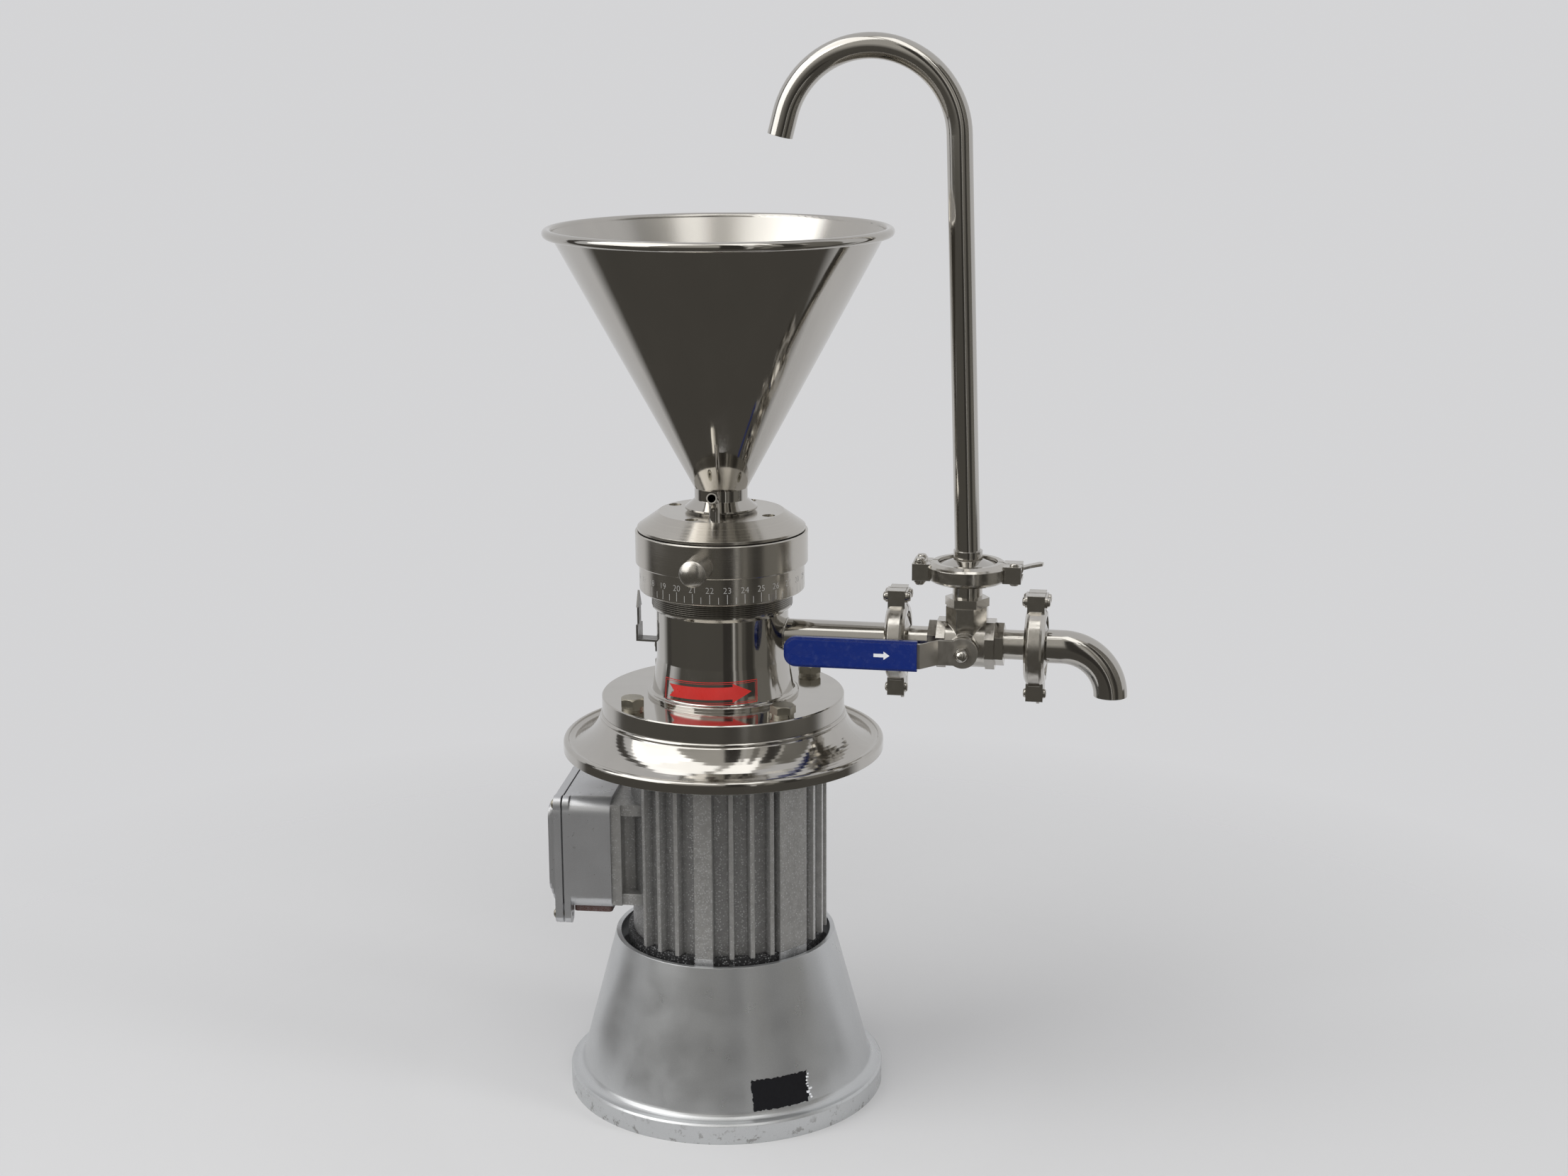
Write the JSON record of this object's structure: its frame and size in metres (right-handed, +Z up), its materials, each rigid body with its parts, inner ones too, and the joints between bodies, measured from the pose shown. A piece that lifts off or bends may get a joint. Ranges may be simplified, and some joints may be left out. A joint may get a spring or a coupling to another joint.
{
  "type": "colloid mill",
  "caption": "Upright laboratory colloid mill: cone base, finned motor, adjustable grinding head with feed hopper, clamped three-way valve, discharge elbow and return pipe.",
  "frame": {"origin": "middle of the foot's underside, on the mill's axis", "axes": "+Z up along the mill's axis, +X along the outlet line, -Y to the front"},
  "size_m": [0.4469, 0.262, 0.8207],
  "materials": {
    "base_paint": "smooth satin silver paint",
    "motor_paint": "silver paint on a rough casting",
    "gland_brown": "reddish brown primer",
    "polished_steel": "mirror-polished stainless steel",
    "turned_steel": "fine turned stainless steel",
    "cast_steel": "tumbled cast stainless steel",
    "fitting_steel": "machined stainless steel",
    "bolt_steel": "zinc-plated steel",
    "pointer_steel": "grey strip",
    "blue_vinyl": "dipped vinyl",
    "white_ptfe": "moulded white",
    "dark_rubber": "matte",
    "laminations": "varnished laminations",
    "winding_enamel": "varnished copper wire",
    "bearing_steel": "ground",
    "shaft_steel": "ground",
    "fan_plastic": "moulded",
    "terminal_resin": "moulded",
    "seal_carbon": "lapped",
    "grinding_steel": "hardened and ground"
  },
  "bodies": {
    "stand": {"base_cone": "base_paint", "motor_frame": "motor_paint", "lower_end_shield": "motor_paint", "upper_end_shield": "motor_paint", "stator_core": "laminations", "stator_winding": "winding_enamel", "motor_bearings": "bearing_steel", "terminal_box": "base_paint", "terminal_box_cover": "base_paint", "terminal_box_gasket": "dark_rubber", "terminal_cover_screws": "bolt_steel", "terminal_block": "terminal_resin", "gland_plate": "gland_brown", "drip_tray": "polished_steel", "mill_housing": "polished_steel", "housing_bolts": "bolt_steel", "housing_washers": "bolt_steel", "seal_seat": "seal_carbon", "outlet_pipe": "polished_steel", "pointer": "pointer_steel", "pointer_screw": "bolt_steel", "inlet_clamp_front": "cast_steel", "inlet_clamp_rear": "cast_steel", "inlet_clamp_hardware": "fitting_steel", "discharge_clamp_front": "cast_steel", "discharge_clamp_rear": "cast_steel", "discharge_clamp_hardware": "fitting_steel", "return_clamp_front": "cast_steel", "return_clamp_rear": "cast_steel", "return_clamp_hardware": "fitting_steel", "clamp_gaskets": "white_ptfe", "valve_body": "cast_steel", "valve_inlet_end": "fitting_steel", "valve_outlet_end": "fitting_steel", "valve_return_end": "fitting_steel", "valve_seats": "white_ptfe", "valve_gland_nut": "fitting_steel", "discharge_elbow": "polished_steel"},
    "rotor": {"main_shaft": "shaft_steel", "motor_rotor": "laminations", "cooling_fan": "fan_plastic", "seal_ring": "shaft_steel", "grinding_rotor": "grinding_steel", "rotor_cap_nut": "grinding_steel"},
    "carriage": {"grinding_stator": "grinding_steel", "top_cover": "turned_steel", "cover_screws": "bolt_steel", "cooling_pipes": "polished_steel", "hopper": "polished_steel"},
    "ring": {"adjusting_ring": "turned_steel", "ring_handles": "polished_steel"},
    "valve": {"valve_ball": "fitting_steel", "valve_stem": "fitting_steel", "valve_lever": "fitting_steel", "lever_grip": "blue_vinyl", "lever_cap_nut": "fitting_steel"},
    "return_line": {"return_pipe": "polished_steel"},
    "inlet_nut": {"inlet_wing_nut": "cast_steel"},
    "discharge_nut": {"discharge_wing_nut": "cast_steel"},
    "return_nut": {"return_wing_nut": "cast_steel"}
  },
  "joints": [
    {"name": "rotor_spin", "type": "hinge", "parent": "stand", "child": "rotor", "pos_m": [0, 0, 0], "axis": [0, 0, 1], "continuous": true},
    {"name": "stator_lift", "type": "slide", "parent": "stand", "child": "carriage", "axis": [0, 0, 1], "range_m": [-0.0009, 0.0006]},
    {"name": "ring_turn", "type": "hinge", "parent": "carriage", "child": "ring", "pos_m": [0, 0, 0.43], "axis": [0, 0, 1], "range_deg": [-204, 140]},
    {"name": "valve_turn", "type": "hinge", "parent": "stand", "child": "valve", "pos_m": [0.1893, 0, 0.3695], "axis": [0, 1, 0], "range_deg": [0, 90]},
    {"name": "return_swivel", "type": "hinge", "parent": "stand", "child": "return_line", "pos_m": [0.1893, 0, 0.4255], "axis": [0, 0, 1], "continuous": true},
    {"name": "inlet_nut_turn", "type": "hinge", "parent": "stand", "child": "inlet_nut", "pos_m": [0.1367, 0.0158, 0.334], "axis": [0, 1, 0], "continuous": true},
    {"name": "discharge_nut_turn", "type": "hinge", "parent": "stand", "child": "discharge_nut", "pos_m": [0.2419, 0.0158, 0.334], "axis": [0, 1, 0], "continuous": true},
    {"name": "return_nut_turn", "type": "hinge", "parent": "stand", "child": "return_nut", "pos_m": [0.2248, 0.0158, 0.4255], "axis": [0, 1, 0], "continuous": true}
  ],
  "couplings": [
    {"joint": "stator_lift", "follows": "ring_turn", "m_per_rad": 0.00023873}
  ]
}
